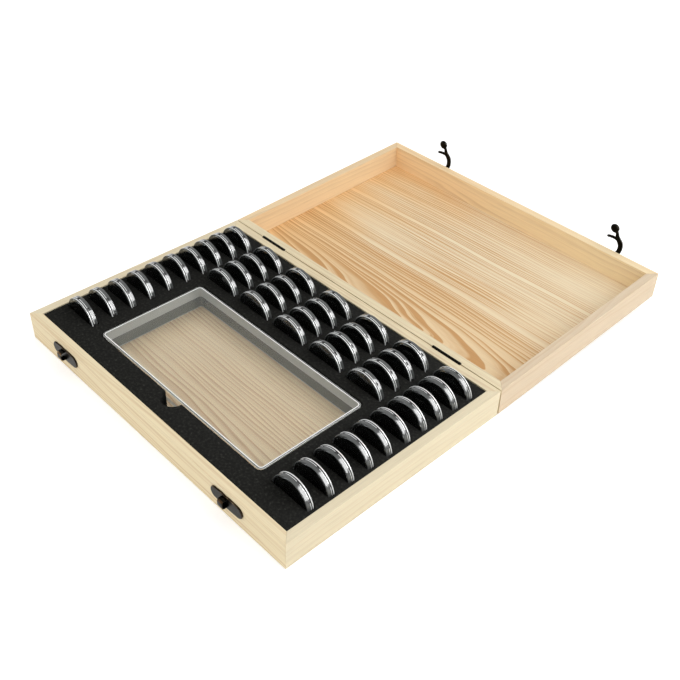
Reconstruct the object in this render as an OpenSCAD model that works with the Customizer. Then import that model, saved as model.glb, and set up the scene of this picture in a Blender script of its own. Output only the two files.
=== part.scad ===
// Coin storage box: a hinged wooden box with a foam bed for round coin capsules and a clear inner case.
// Lengths are in millimetres. The origin is the centre of the base's underside and +Z is up.
// The base has its front towards -Y. The lid is drawn open, behind the base.

/* [Box] */
// Outer length, left to right
body_l = 375; // [320:1:400]
// Outer depth of the base and of the lid, front to back
body_w = 254; // [210:1:270]
// Height of the base's walls
base_h = 29.6; // [29:0.2:34]
// Height of the lid's walls
lid_h = 29.6; // [26:0.2:34]
// Thickness of the wooden walls
wall_t = 9; // [7:0.5:9]
// Thickness of the floor panel
floor_t = 3; // [2:0.5:4]
// Thickness of the lid's panel
panel_t = 3; // [2:0.5:4]
// Depth of the rebate that holds a panel
rebate = 4; // [2:0.5:5]
// Gap between the closed rims
seam_gap = 0.2; // [0.1:0.1:0.4]
// Degrees by which the open lid stays short of lying flat
open_tilt = 2; // [0:0.5:8]

/* [Hinges] */
// Gap between the rear faces of the base and of the open lid
hinge_gap = 1.2; // [1:0.1:1.6]
// Length of one hinge
hinge_l = 34.5; // [25:0.5:45]
// Place of the left hinge's middle, left of the centre
hinge_left = 125; // [90:1:140]
// Place of the right hinge's middle, right of the centre
hinge_right = 122; // [90:1:140]
// Thickness of a leaf
leaf_t = 0.9; // [0.7:0.1:1.1]
// Height of a leaf
leaf_h = 10; // [8:0.5:14]
// Radius of the hinge pin
pin_r = 0.7; // [0.5:0.05:0.8]
// Radial play of the pin in its knuckles
pin_play = 0.05; // [0.02:0.01:0.1]
// Gap between two knuckles
knuckle_gap = 0.2; // [0.1:0.05:0.3]
// Distance between a leaf's nails
leaf_nail_step = 12; // [8:0.5:12]

/* [Foam bed] */
// Height of the rim above the foam
foam_drop = 0.8; // [0.4:0.1:3]
// Gap between the foam and the walls
foam_gap = 0.4; // [0.3:0.1:0.8]
// Play on each face of a capsule in its slot
slot_play = 0.3; // [0.3:0.05:0.6]
// Play at each end of a capsule in its slot
slot_end_play = 0.4; // [0.3:0.05:1]
// Play around the inner case in its cut-out
cut_play = 1.2; // [0.6:0.1:1.6]
// Radius of the finger notch
notch_r = 12; // [9:0.5:14]

/* [Capsules] */
// Outer radius of a capsule
capsule_r = 21.75; // [20:0.25:22]
// Thickness of a capsule
capsule_t = 6.6; // [6:0.1:7]
// Height of a standing capsule above the floor
stand_gap = 0.1; // [0.05:0.05:0.2]
// Thickness of a shell's face
face_t = 1; // [0.8:0.1:1.2]
// Thickness of a shell's rim
rim_t = 1.6; // [1.2:0.1:2]
// Thickness of the lip inside the rim
lip_t = 0.9; // [0.6:0.1:1.1]
// Height of the lip above the seam
lip_h = 1.2; // [0.8:0.1:1.6]
// Play of the lip and of the ring
shell_play = 0.1; // [0.05:0.01:0.15]
// Gap between a capsule's two shells at the seam
shell_seam = 0.05; // [0.02:0.01:0.1]
// Outer radius of the foam ring
ring_r = 17.75; // [16:0.25:17.75]
// Radius of the ring's hole for the coin
coin_r = 13; // [9:0.5:14]
// Length of a grip notch along the rim
grip_l = 2.4; // [1.6:0.2:3]
// Width of a grip notch
grip_w = 1.6; // [1:0.2:2]
// Depth of a grip notch
grip_d = 0.9; // [0.5:0.1:1.1]
// Most columns that a box is given
col_most = 7; // [3:1:7]
// Least distance between columns
col_step = 51; // [46:0.5:56]
// Distance from a side wall to the capsules beside it
side_margin = 3.75; // [2:0.25:6]
// Most rows beside the inner case
side_rows_most = 6; // [3:1:6]
// Distance from the front wall to the middle of the front row
front_margin = 28.6; // [12:0.2:32]
// Distance from the rear wall to the middle of the last row
rear_margin = 18.3; // [8:0.1:20]
// Distance between the rows beside the inner case
side_pitch = 21.9; // [16:0.1:21.9]
// Least distance from the rows beside the inner case to the rows behind it
row_break = 20.8; // [16:0.1:21]
// Distance between the rows behind the inner case
rear_pitch = 19.6; // [16:0.1:20]

/* [Inner case] */
// Distance from the inner case to the capsules beside it
case_side_strip = 14.25; // [4:0.25:20]
// Distance from the inner case to the front wall
case_front_strip = 25.5; // [16:0.5:30]
// Distance from the inner case to the middle of the first row behind it
case_rear_strip = 16.8; // [8:0.1:20]
// Height of the tray and of the cover, each
case_half_h = 12.6; // [10:0.1:13]
// Thickness of the case's walls
case_wall = 1.8; // [1.4:0.1:2.4]
// Thickness of the case's floor and top
case_face = 1.4; // [1:0.1:2]
// Radius of the case's corners
case_r = 5; // [4:0.5:8]
// Height of the tray's lip
case_lip = 1.6; // [1:0.1:2.4]
// Play of the lip in the cover
case_play = 0.15; // [0.1:0.05:0.3]

/* [Latches] */
// Place of the left keeper, left of the centre
keeper_left = 125.9; // [90:0.5:140]
// Place of the right keeper, right of the centre
keeper_right = 115.5; // [90:0.5:140]
// Distance of a keeper's middle below the base's rim
keeper_drop = 11.7; // [11.5:0.1:12]
// Length of a latch plate
plate_l = 34; // [30:0.5:38]
// Width of a latch plate at its middle
plate_w = 11; // [10:0.5:12]
// Thickness of a latch plate
plate_t = 0.9; // [0.6:0.1:1]
// Width of the keeper's strap
strap_w = 6.4; // [5:0.2:6.4]
// Thickness of the keeper's strap
strap_t = 1; // [0.8:0.1:1.2]
// Height of the space under the strap
strap_h = 4.8; // [4.6:0.1:6]
// Half the length of the space under the strap
strap_half = 3.7; // [3.6:0.1:3.9]
// Place of a hook's stud beside its keeper
stud_x = 13; // [12.8:0.1:13.5]
// Height of a hook's stud above the closed seam
stud_z = 12; // [12:0.1:12.4]
// Radius of a hook's stud
stud_r = 1.25; // [1:0.05:1.4]
// Radial play of a hook on its stud
stud_play = 0.05; // [0.02:0.01:0.1]
// Thickness of a hook
hook_t = 1.8; // [1.4:0.1:1.8]
// Distance of a hook from the wooden face
hook_lift = 2.1; // [2.1:0.1:2.3]
// Width of a hook's arm
arm_w = 4.5; // [3.5:0.1:5]
// Width of a hook's finger
finger_w = 2.7; // [2.2:0.1:2.8]
// Distance from the stud to the finger's middle line
finger_r = 25.9; // [25.7:0.1:26.1]
// Radius of a hook's thumb knob
knob_r = 4.1; // [3.5:0.1:4.2]
// Thickness of a hook's thumb knob
knob_t = 3.8; // [3:0.1:4]
// Radius of a nail's shank
nail_r = 0.6; // [0.4:0.05:0.7]
// Length of a nail below its head
nail_l = 6; // [4:0.5:6]
// Radius of a nail's head
nail_head_r = 1.4; // [1.1:0.1:1.6]
// Height of a nail's head
nail_head_t = 0.5; // [0.3:0.05:0.5]
// Radial play of a nail in its hole
nail_play = 0.02; // [0.01:0.01:0.05]
// Radius of the stud's head
stud_head_r = 2.6; // [2:0.1:3]
// Thickness of the stud's head
stud_head_t = 0.8; // [0.5:0.1:1.2]
// Gap on each side of a hook on its stud
stud_gap = 0.1; // [0.05:0.05:0.15]
// Width of a hook's neck
neck_w = 2.8; // [2.2:0.1:3.4]
// How far the round joints of a hook's bars stand proud
bar_bead = 0.1; // [0.05:0.05:0.2]

/* [Hidden] */
$fn = 96;
rear_rows = 4;
knuckle_count = 5;
grip_count = 8;
over = 5;
foam_top = base_h - foam_drop;
floor_l = body_l - 2 * wall_t + 2 * rebate;
floor_w = body_w - 2 * wall_t + 2 * rebate;
axis_y = body_w / 2 + hinge_gap / 2;
axis_z = base_h + seam_gap / 2;
barrel_r = leaf_t + hinge_gap / 2;
mortise_play = knuckle_gap / 2;
leaf_nail_z = leaf_h - nail_head_r - leaf_t;
knuckle_step = hinge_l / knuckle_count;
slot_l = 2 * capsule_r + 2 * slot_end_play;
slot_w = capsule_t + 2 * slot_play;
round_share = 0.001;
side_x = body_l / 2 - wall_t - side_margin - capsule_r;
col_count = min(col_most, floor(2 * side_x / col_step + round_share) + 1);
col_pitch = 2 * side_x / (col_count - 1);
front_row_y = front_margin + wall_t - body_w / 2;
rear_row_y = body_w / 2 - wall_t - rear_margin - (rear_rows - 1) * rear_pitch;
side_rows = min(
  side_rows_most,
  floor((rear_row_y - row_break - front_row_y) / side_pitch + round_share) + 1
);
case_front_y = case_front_strip + wall_t - body_w / 2;
case_rear_y = rear_row_y - case_rear_strip;
case_l = 2 * (side_x - capsule_r - case_side_strip);
case_w = case_rear_y - case_front_y;
case_mid_y = (case_front_y + case_rear_y) / 2;
cut_l = case_l + 2 * cut_play;
cut_w = case_w + 2 * cut_play;
case_z = floor_t + stand_gap;
cover_z = case_z + case_half_h;
lobe_share = 0.36;
lobe_r = lobe_share * plate_w;
lobe_x = plate_l / 2 - lobe_r;
lobe_waist_share = 0.8;
hook_boss_r = stud_head_r + arm_w / 6;
strap_bend = strap_half / 2;
keeper_z = base_h - keeper_drop;
stud_h = base_h + seam_gap + stud_z;
hook_mid = hook_lift + hook_t / 2;
root_share = [0.317, -0.463];
elbow_share = [0.328, -0.842];
fork_share = [0.13, -0.99];
neck_share = [0.1, -1.23];
knob_share = [-0.066, -1.39];
finger_start = -87;
finger_end = -106.5;
sector_share = 2;

middle_count = (col_count - 2) * rear_rows;
side_count = side_rows + rear_rows;
capsule_count = 2 * side_count + middle_count;

function two_figures(n) = n < 10 ? str("0", n) : str(n);
function capsule_name(i) = str("capsule_", two_figures(i + 1));
function row_y(r) =
  r < side_rows ? front_row_y + r * side_pitch : rear_row_y + (r - side_rows) * rear_pitch;
function col_x(c) = (c - (col_count - 1) / 2) * col_pitch;
function middle_place(k) = [col_x(1 + floor(k / rear_rows)), row_y(side_rows + k % rear_rows)];
function capsule_place(i) =
  i < side_count ? [col_x(0), row_y(i)] :
  i < 2 * side_count ? [col_x(col_count - 1), row_y(i - side_count)] :
  middle_place(i - 2 * side_count);

// Helpers

// Puts what is drawn for the closed lid where the open lid is
module lid_pose() {
  translate([0, axis_y, axis_z])
    rotate([open_tilt - 180, 0, 0])
      translate([0, -axis_y, -axis_z])
        children();
}

// Draws one of a pair at the left and one at the right
module at_both(left, right) {
  translate([-left, 0, 0])
    children();
  translate([right, 0, 0])
    children();
}

// A cylinder along -Y, standing on the XZ plane
module peg(r, l) {
  rotate([90, 0, 0])
    cylinder(r = r, h = l);
}

// A wall with its two ends mitred, its outer face on the XZ plane
module mitred_wall(l, h) {
  linear_extrude(h)
    polygon([[-l / 2, 0], [l / 2, 0], [l / 2 - wall_t, wall_t], [wall_t - l / 2, wall_t]]);
}

// A block in the middle of the XY plane
module block(l, w, h) {
  translate([-l / 2, -w / 2, 0])
    cube([l, w, h]);
}

// A block with round upright corners
module round_block(l, w, h, r) {
  union() {
    block(l - 2 * r, w, h);
    block(l, w - 2 * r, h);
    for (x = [r - l / 2, l / 2 - r])
      for (y = [r - w / 2, w / 2 - r])
        translate([x, y, 0])
          cylinder(r = r, h = h);
  }
}

// The places of a latch plate's two nails
module plate_nail_places() {
  for (s = [-1, 1])
    translate([s * lobe_x, 0, 0])
      children();
}

// The places of a hinge leaf's three nails
module leaf_nail_places() {
  for (s = [-1, 0, 1])
    translate([s * leaf_nail_step, 0, 0])
      children();
}

// Wooden carcass

module hinge_mortises(z0, h) {
  at_both(hinge_left, hinge_right)
    translate([-hinge_l / 2 - mortise_play, body_w / 2 - leaf_t - mortise_play, z0])
      cube([hinge_l + 2 * mortise_play, over, h]);
}

module nail_hole() {
  translate([0, nail_l + nail_play, 0])
    peg(nail_r + nail_play, nail_l + over);
}

module rear_nail_holes(z) {
  at_both(hinge_left, hinge_right)
    leaf_nail_places()
      translate([0, body_w / 2, z])
        mirror([0, 1, 0])
          nail_hole();
}

module front_wall(h, panel_z, panel_h) {
  difference() {
    translate([0, -body_w / 2, 0])
      mitred_wall(body_l, h);
    translate([0, 0, panel_z])
      block(floor_l, floor_w, panel_h);
  }
}

module side_walls(h, panel_z, panel_h) {
  difference() {
    for (a = [90, -90])
      rotate([0, 0, a])
        translate([0, -body_l / 2, 0])
          mitred_wall(body_w, h);
    translate([0, 0, panel_z])
      block(floor_l, floor_w, panel_h);
  }
}

module base_front_wall() {
  color("burlywood")
    difference() {
      front_wall(base_h, -over, floor_t + over);
      at_both(keeper_left, keeper_right)
        plate_nail_places()
          translate([0, -body_w / 2, keeper_z])
            nail_hole();
    }
}

module base_rear_wall() {
  color("burlywood")
    difference() {
      rotate([0, 0, 180])
        front_wall(base_h, -over, floor_t + over);
      hinge_mortises(base_h - leaf_h - mortise_play, leaf_h + over);
      rear_nail_holes(base_h - leaf_nail_z);
    }
}

module base_side_walls() {
  color("wheat")
    side_walls(base_h, -over, floor_t + over);
}

module base_floor() {
  color("tan")
    block(floor_l, floor_w, floor_t);
}

module lid_front_wall() {
  color("burlywood")
    lid_pose()
      difference() {
        translate([0, 0, base_h + seam_gap])
          front_wall(lid_h, lid_h - panel_t, panel_t + over);
        at_both(keeper_left - stud_x, keeper_right + stud_x)
          plate_nail_places()
            translate([0, -body_w / 2, stud_h])
              nail_hole();
      }
}

module lid_rear_wall() {
  color("burlywood")
    lid_pose()
      difference() {
        translate([0, 0, base_h + seam_gap])
          rotate([0, 0, 180])
            front_wall(lid_h, lid_h - panel_t, panel_t + over);
        hinge_mortises(base_h + seam_gap - over, leaf_h + mortise_play + over);
        rear_nail_holes(base_h + seam_gap + leaf_nail_z);
      }
}

module lid_side_walls() {
  color("wheat")
    lid_pose()
      translate([0, 0, base_h + seam_gap])
        side_walls(lid_h, lid_h - panel_t, panel_t + over);
}

module lid_panel() {
  color("sandybrown")
    lid_pose()
      translate([0, 0, base_h + seam_gap + lid_h - panel_t])
        block(floor_l, floor_w, panel_t);
}

// Foam bed

module foam_insert() {
  color("dimgray")
    difference() {
      translate([0, 0, floor_t])
        block(body_l - 2 * wall_t - 2 * foam_gap, body_w - 2 * wall_t - 2 * foam_gap, foam_top - floor_t);
      for (i = [0 : capsule_count - 1])
        translate([capsule_place(i)[0], capsule_place(i)[1], floor_t - over])
          block(slot_l, slot_w, base_h + over);
      translate([0, case_mid_y, floor_t - over])
        round_block(cut_l, cut_w, base_h + over, case_r + cut_play);
      translate([0, case_mid_y - cut_w / 2, floor_t - over])
        cylinder(r = notch_r, h = base_h + over);
    }
}

// Hinges

module knuckle(i) {
  translate([i * knuckle_step - hinge_l / 2 + knuckle_gap / 2, axis_y, axis_z])
    rotate([0, 90, 0])
      cylinder(r = barrel_r, h = knuckle_step - knuckle_gap);
}

module knuckle_room(i) {
  translate([i * knuckle_step - hinge_l / 2 - knuckle_gap / 2, axis_y, axis_z])
    rotate([0, 90, 0])
      cylinder(r = barrel_r + knuckle_gap, h = knuckle_step + knuckle_gap);
}

// One leaf below the axis, with the knuckles from first on, every second one
module leaf(first) {
  difference() {
    union() {
      translate([-hinge_l / 2, body_w / 2 - leaf_t, base_h - leaf_h])
        cube([hinge_l, leaf_t, leaf_h]);
      for (i = [first : 2 : knuckle_count - 1]) {
        knuckle(i);
        translate([i * knuckle_step - hinge_l / 2 + knuckle_gap / 2, body_w / 2 - leaf_t, axis_z - leaf_h])
          cube([knuckle_step - knuckle_gap, leaf_t, leaf_h]);
      }
    }
    for (i = [1 - first : 2 : knuckle_count - 1])
      knuckle_room(i);
    translate([-hinge_l / 2 - over, axis_y, axis_z])
      rotate([0, 90, 0])
        cylinder(r = pin_r + pin_play, h = hinge_l + 2 * over);
    leaf_nail_places()
      translate([0, body_w / 2 + over, base_h - leaf_nail_z])
        peg(nail_r + nail_play, 2 * over);
  }
}

module hinge_base_leaves() {
  color("darkslategray")
    at_both(hinge_left, hinge_right)
      leaf(0);
}

module hinge_lid_leaves() {
  color("slategray")
    lid_pose()
      at_both(hinge_left, hinge_right)
        translate([0, 0, 2 * axis_z])
          mirror([0, 0, 1])
            leaf(1);
}

module hinge_pins() {
  color("gray")
    at_both(hinge_left, hinge_right)
      translate([-hinge_l / 2, axis_y, axis_z])
        rotate([0, 90, 0])
          cylinder(r = pin_r, h = hinge_l);
}

// Latches

module plate_2d() {
  union() {
    circle(r = plate_w / 2);
    for (s = [-1, 1])
      translate([s * lobe_x, 0])
        circle(r = lobe_r);
    translate([-lobe_x, -lobe_r * lobe_waist_share])
      square([2 * lobe_x, 2 * lobe_r * lobe_waist_share]);
  }
}

module latch_plate() {
  difference() {
    rotate([90, 0, 0])
      linear_extrude(plate_t)
        plate_2d();
    plate_nail_places()
      translate([0, over, 0])
        peg(nail_r + nail_play, 2 * over);
  }
}

// A round-cornered arch that stands on the Y axis and points to -X
module arch_2d(half, h, r) {
  union() {
    translate([r - h, -half])
      square([h - r, 2 * half]);
    translate([-h, r - half])
      square([h, 2 * half - 2 * r]);
    for (s = [-1, 1])
      translate([r - h, s * (half - r)])
        circle(r = r);
  }
}

module keeper() {
  union() {
    latch_plate();
    translate([-strap_w / 2, -plate_t, 0])
      rotate([90, 0, 90])
        linear_extrude(strap_w)
          difference() {
            arch_2d(strap_half + strap_t, strap_h + strap_t, strap_bend + strap_t);
            arch_2d(strap_half, strap_h, strap_bend);
          }
  }
}

module latch_keepers() {
  color("saddlebrown")
    at_both(keeper_left, keeper_right)
      translate([0, -body_w / 2, keeper_z])
        keeper();
}

// A latch plate with the stud that its hook turns on
module stud_plate() {
  union() {
    latch_plate();
    peg(2 * stud_r, hook_lift - stud_gap);
    peg(stud_r, hook_lift + hook_t + stud_gap + stud_head_t);
    translate([0, -hook_lift - hook_t - stud_gap, 0])
      peg(stud_head_r, stud_head_t);
  }
}

module latch_plates() {
  color("saddlebrown")
    lid_pose()
      at_both(keeper_left - stud_x, keeper_right + stud_x)
        translate([0, -body_w / 2, stud_h])
          stud_plate();
}

// A round-ended bar from one point to another
module bar_2d(p, q, w) {
  translate(p)
    rotate(atan2(q[1] - p[1], q[0] - p[0]))
      translate([0, -w / 2])
        square([norm(q - p), w]);
  translate(p)
    circle(r = w / 2 + bar_bead);
  translate(q)
    circle(r = w / 2 + bar_bead);
}

module finger_2d() {
  intersection() {
    difference() {
      circle(r = finger_r + finger_w / 2);
      circle(r = finger_r - finger_w / 2);
    }
    polygon([
      [0, 0],
      sector_share * finger_r * [cos(finger_start), sin(finger_start)],
      sector_share * finger_r * [cos(finger_end), sin(finger_end)]
    ]);
  }
  rotate(finger_end)
    translate([finger_r, 0])
      circle(r = finger_w / 2 + bar_bead);
}

module hook_2d() {
  root = finger_r * root_share;
  elbow = finger_r * elbow_share;
  fork = finger_r * fork_share;
  neck = finger_r * neck_share;
  knob = finger_r * knob_share;
  difference() {
    union() {
      circle(r = hook_boss_r);
      bar_2d([0, 0], root, arm_w);
      bar_2d(root, elbow, arm_w);
      bar_2d(elbow, fork, arm_w);
      bar_2d(fork, neck, neck_w);
      bar_2d(neck, knob, neck_w);
      finger_2d();
    }
    circle(r = stud_r + stud_play);
  }
}

module hook() {
  knob = finger_r * knob_share;
  union() {
    translate([0, -hook_lift, 0])
      rotate([90, 0, 0])
        linear_extrude(hook_t)
          hook_2d();
    translate([knob[0], -hook_mid, knob[1]])
      rotate([90, 0, 0])
        rotate_extrude()
          intersection() {
            union() {
              translate([0, -knob_t / 2])
                square([knob_r - knob_t / 2, knob_t]);
              translate([knob_r - knob_t / 2, 0])
                circle(r = knob_t / 2);
            }
            translate([0, -knob_t])
              square([2 * knob_r, 2 * knob_t]);
          }
  }
}

module hook_left() {
  color("peru")
    lid_pose()
      translate([stud_x - keeper_left, -body_w / 2, stud_h])
        hook();
}

module hook_right() {
  color("peru")
    lid_pose()
      translate([stud_x + keeper_right, -body_w / 2, stud_h])
        hook();
}

// Nails

module nail(seat) {
  union() {
    translate([0, -seat, 0])
      peg(nail_head_r, nail_head_t);
    translate([0, nail_l, 0])
      peg(nail_r, nail_l + seat);
  }
}

module leaf_nails(z) {
  at_both(hinge_left, hinge_right)
    leaf_nail_places()
      translate([0, body_w / 2, z])
        mirror([0, 1, 0])
          nail(0);
}

module base_nails() {
  color("silver") {
    at_both(keeper_left, keeper_right)
      plate_nail_places()
        translate([0, -body_w / 2, keeper_z])
          nail(plate_t);
    leaf_nails(base_h - leaf_nail_z);
  }
}

module lid_nails() {
  color("silver")
    lid_pose() {
      at_both(keeper_left - stud_x, keeper_right + stud_x)
        plate_nail_places()
          translate([0, -body_w / 2, stud_h])
            nail(plate_t);
      leaf_nails(base_h + seam_gap + leaf_nail_z);
    }
}

// Inner case

module case_pocket(h) {
  round_block(case_l - 2 * case_wall, case_w - 2 * case_wall, h, case_r - case_wall);
}

module case_tray() {
  color("lightblue")
    translate([0, case_mid_y, case_z])
      difference() {
        union() {
          round_block(case_l, case_w, case_half_h, case_r);
          round_block(
            case_l - case_wall - 2 * case_play,
            case_w - case_wall - 2 * case_play,
            case_half_h + case_lip,
            case_r - case_wall / 2 - case_play
          );
        }
        translate([0, 0, case_face])
          case_pocket(case_half_h + over);
      }
}

module case_cover() {
  color("lightcyan")
    translate([0, case_mid_y, cover_z])
      difference() {
        round_block(case_l, case_w, case_half_h, case_r);
        translate([0, 0, -over])
          case_pocket(case_half_h - case_face + over);
        translate([0, 0, -over])
          round_block(
            case_l - case_wall,
            case_w - case_wall,
            case_lip + case_play + over,
            case_r - case_wall / 2
          );
      }
}

// Capsules

module tube(outer, inner, h) {
  difference() {
    cylinder(r = outer, h = h);
    translate([0, 0, -over])
      cylinder(r = inner, h = h + 2 * over);
  }
}

module grips() {
  for (i = [0 : grip_count - 1])
    rotate([0, 0, (i + 1 / 2) * 360 / grip_count])
      translate([capsule_r - grip_d, -grip_l / 2, -grip_w / 2])
        cube([over, grip_l, grip_w]);
}

// One shell with its face down and its rim up to the seam
module shell() {
  union() {
    cylinder(r = capsule_r, h = face_t);
    tube(capsule_r, capsule_r - rim_t, capsule_t / 2 - shell_seam / 2);
  }
}

// A capsule that lies on its face, with its seam on the XY plane
module capsule_flat() {
  lip_r = capsule_r - rim_t;
  difference() {
    translate([0, 0, -capsule_t / 2])
      union() {
        shell();
        tube(lip_r, lip_r - lip_t, capsule_t / 2 - shell_seam / 2);
        tube(lip_r - shell_play, lip_r - lip_t, capsule_t / 2 + lip_h);
      }
    grips();
  }
  difference() {
    translate([0, 0, capsule_t / 2])
      mirror([0, 0, 1])
        shell();
    grips();
  }
  translate([0, 0, face_t + shell_play - capsule_t / 2])
    tube(ring_r, coin_r, capsule_t - 2 * face_t - 2 * shell_play);
}

module capsule(i) {
  color("lightsteelblue")
    translate([capsule_place(i)[0], capsule_place(i)[1], floor_t + stand_gap + capsule_r])
      rotate([90, 0, 0])
        capsule_flat();
}

base_front_wall();
base_rear_wall();
base_side_walls();
base_floor();
foam_insert();
lid_front_wall();
lid_rear_wall();
lid_side_walls();
lid_panel();
hinge_base_leaves();
hinge_lid_leaves();
hinge_pins();
latch_keepers();
latch_plates();
hook_left();
hook_right();
base_nails();
lid_nails();
case_tray();
case_cover();
for (i = [0 : capsule_count - 1])
  capsule(i);
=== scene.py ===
# %% [markdown]
# # A wooden coin box with capsules, dressed in Blender
# The box's construction comes from a CAD model, and this lesson gives it its looks: pale pine, black foam, clear plastic and bronzed latches.
# The first step loads that model as a fixed frame. Everything is in metres, x along the box, y towards the hinges and z up.
# A piece could be placed by eye, but reading its size from the frame keeps looks and construction together.

# %% Load the frame
import math
from contextlib import contextmanager

import bmesh
import bpy
from mathutils import Matrix, Vector


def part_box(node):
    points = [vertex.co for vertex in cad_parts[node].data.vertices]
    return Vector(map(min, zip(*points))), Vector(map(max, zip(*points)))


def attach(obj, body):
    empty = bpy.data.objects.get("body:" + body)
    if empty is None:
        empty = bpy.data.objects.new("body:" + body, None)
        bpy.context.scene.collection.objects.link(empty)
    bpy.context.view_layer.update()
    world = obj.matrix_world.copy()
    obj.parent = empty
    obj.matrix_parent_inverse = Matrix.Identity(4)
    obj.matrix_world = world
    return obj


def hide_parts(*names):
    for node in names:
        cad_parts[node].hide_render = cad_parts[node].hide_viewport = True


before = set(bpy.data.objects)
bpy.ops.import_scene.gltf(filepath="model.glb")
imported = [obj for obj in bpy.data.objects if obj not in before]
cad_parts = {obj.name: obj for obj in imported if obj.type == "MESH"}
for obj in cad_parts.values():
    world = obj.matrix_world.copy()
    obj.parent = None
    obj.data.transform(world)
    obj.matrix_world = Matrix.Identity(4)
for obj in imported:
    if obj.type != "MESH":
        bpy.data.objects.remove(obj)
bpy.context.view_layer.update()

mm = 0.001

# %% [markdown]
# ## The camera
# The photograph looks down on the open box from its front right corner, over a long lens with a slight tilt of the frame.
# A camera could be aimed at an empty with a constraint, but here the viewing direction was measured, so its matrix is written from three angles.
# The angles are the direction over the ground, the height above the horizon and the roll of the frame.

# %% Camera
focal_length, sensor_width = 50.1926, 36
camera_place = (0.529861, -0.418138, 0.597457)
camera_azimuth, camera_elevation, camera_roll = 45.1609, 39.4269, -2.1399


def camera_matrix(place, azimuth, elevation, roll):
    a, e, r = (math.radians(v) for v in (azimuth, elevation, roll))
    forward = Vector((-math.sin(a) * math.cos(e), math.cos(a) * math.cos(e), -math.sin(e)))
    level = Vector((math.cos(a), math.sin(a), 0))
    down = forward.cross(level)
    right = math.cos(r) * level + math.sin(r) * down
    up = math.sin(r) * level - math.cos(r) * down
    turned = Matrix((right, up, -forward)).transposed().to_4x4()
    return Matrix.Translation(place) @ turned


lens = bpy.data.cameras.new("box_camera")
lens.lens, lens.sensor_width = focal_length, sensor_width
camera = bpy.data.objects.new("box_camera", lens)
bpy.context.collection.objects.link(camera)
camera.matrix_world = camera_matrix(camera_place, camera_azimuth, camera_elevation, camera_roll)
bpy.context.scene.camera = camera
bpy.context.scene.view_settings.view_transform = "Standard"
print("camera at", [round(v, 3) for v in camera.location])

# %% [markdown]
# ## Wiring materials
# Every finish below is a small network of shader nodes. Networks can be drawn by hand in the Shader Editor, but a script needs a short way to say the same.
# `wire` adds one node and fills its inputs, each with a plain value or with the output of an earlier node. `calc` is the same for one step of arithmetic.
# `finish_of` makes a material with its Principled shader ready, and the rest are the few patterns that several finishes share.

# %% Node helpers
def wire(tree, kind, takes=None, **settings):
    made = tree.nodes.new(kind)
    for key, value in settings.items():
        setattr(made, key, value)
    for socket, source in (takes or {}).items():
        if isinstance(source, bpy.types.NodeSocket):
            tree.links.new(source, made.inputs[socket])
        else:
            made.inputs[socket].default_value = source
    return made


def calc(tree, operation, a, b=0.0, c=0.0):
    return wire(tree, "ShaderNodeMath", {0: a, 1: b, 2: c}, operation=operation).outputs[0]


def finish_of(name, **sockets):
    made = bpy.data.materials.new(name)
    made.use_nodes = True
    shader = made.node_tree.nodes["Principled BSDF"]
    for key, value in sockets.items():
        shader.inputs[key.replace("_", " ")].default_value = value
    return made, made.node_tree, shader


def ramp(tree, factor, stops):
    made = wire(tree, "ShaderNodeValToRGB", {0: factor})
    while len(made.color_ramp.elements) < len(stops):
        made.color_ramp.elements.new(0.5)
    for element, (at, shade) in zip(made.color_ramp.elements, stops):
        element.position = at
        element.color = (*shade, 1) if len(shade) == 3 else (shade[0],) * 3 + (1,)
    return made.outputs[0]


def mix(tree, factor, a, b, blend="MIX"):
    made = wire(tree, "ShaderNodeMix", {0: factor, 6: a, 7: b}, data_type="RGBA", blend_type=blend)
    return made.outputs[2]


def places(tree, at=(0, 0, 0), turn=(0, 0, 0), size=(1, 1, 1)):
    seen = wire(tree, "ShaderNodeTexCoord").outputs["Object"]
    takes = {"Vector": seen, "Location": at, "Rotation": turn, "Scale": size}
    return wire(tree, "ShaderNodeMapping", takes, vector_type="TEXTURE").outputs[0]


def noise(tree, at, scale=1, detail=1, **more):
    takes = {"Vector": at, "Scale": scale, "Detail": detail, **more}
    return wire(tree, "ShaderNodeTexNoise", takes).outputs[0]


def noise_1d(tree, at):
    takes = {"W": at, "Scale": 1, "Detail": 1}
    return wire(tree, "ShaderNodeTexNoise", takes, noise_dimensions="1D").outputs[0]


def shift(tree, pattern, amount, value):
    return calc(tree, "MULTIPLY_ADD", calc(tree, "SUBTRACT", pattern, 0.5), amount, value)


def spread(tree, value, low, high):
    return wire(tree, "ShaderNodeMapRange", {0: value, 3: low, 4: high}).outputs[0]


def bump(tree, shader, height, strength, distance):
    takes = {"Strength": strength, "Distance": distance, "Height": height}
    tree.links.new(wire(tree, "ShaderNodeBump", takes).outputs[0], shader.inputs["Normal"])


print("node helpers ready")

# %% [markdown]
# ## Studio
# The box stands on plain white. Even light comes from all sides, a soft box at the rear right gives some shape, and a weak fill lights the front.
# White could come from strong lamps, but they would bleach the pale wood. Here the world looks pure white only to the camera, to reflections and to what is seen through clear plastic, and lights the box at a plain level.
# The floor glows a little for the same rays, so it stays white and still keeps its soft shadow of the box.
# A panel close to the right end shows only in reflections, as the bright patches on the capsules' rims.

# %% Floor, world and lamps
ambient, floor_glow = 0.82, 0.36
floor_reach, floor_z = 6, -0.0004
ray_kinds = ("diffuse", "glossy", "transmission")


def seen_directly(tree):
    path = wire(tree, "ShaderNodeLightPath").outputs
    seen = calc(tree, "MAXIMUM", path["Is Camera Ray"], path["Is Glossy Ray"])
    return calc(tree, "MAXIMUM", seen, path["Is Transmission Ray"])


world = bpy.data.worlds.new("white_studio")
bpy.context.scene.world = world
world.use_nodes = True
tree = world.node_tree
strength = calc(tree, "MULTIPLY_ADD", seen_directly(tree), 1 - ambient, ambient)
sky = tree.nodes["Background"]
sky.inputs["Color"].default_value = (1, 1, 1, 1)
tree.links.new(strength, sky.inputs["Strength"])

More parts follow.
